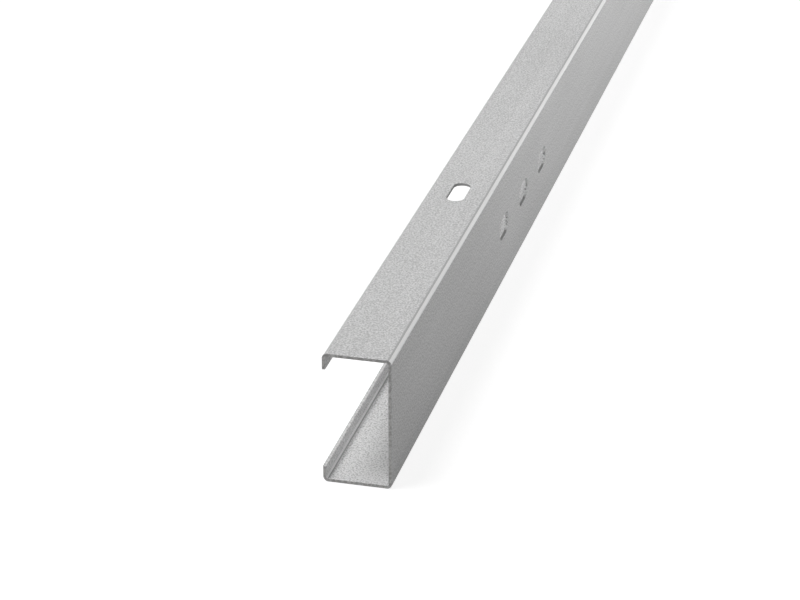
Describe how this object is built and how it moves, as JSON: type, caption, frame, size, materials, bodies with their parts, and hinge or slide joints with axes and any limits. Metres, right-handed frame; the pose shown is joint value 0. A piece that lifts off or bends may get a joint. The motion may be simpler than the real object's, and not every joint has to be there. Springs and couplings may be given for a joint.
{
  "type": "lipped C purlin",
  "caption": "Length of cold-formed galvanised steel channel with lips, slotted in the web and one flange near its ends, for carrying roof sheets or panels between rafters.",
  "frame": {"origin": "under the middle of the bounding box, on the floor plane", "axes": "+Y along the length, +Z from lower to upper flange, +X out of the web's outer face"},
  "size_m": [0.04, 3, 0.08],
  "materials": {
    "galvanised_steel": "dull hot-dip zinc skin on rolled sheet, bare steel on the sheared edges"
  },
  "bodies": {
    "root": {"c_purlin": "galvanised_steel"}
  },
  "joints": []
}
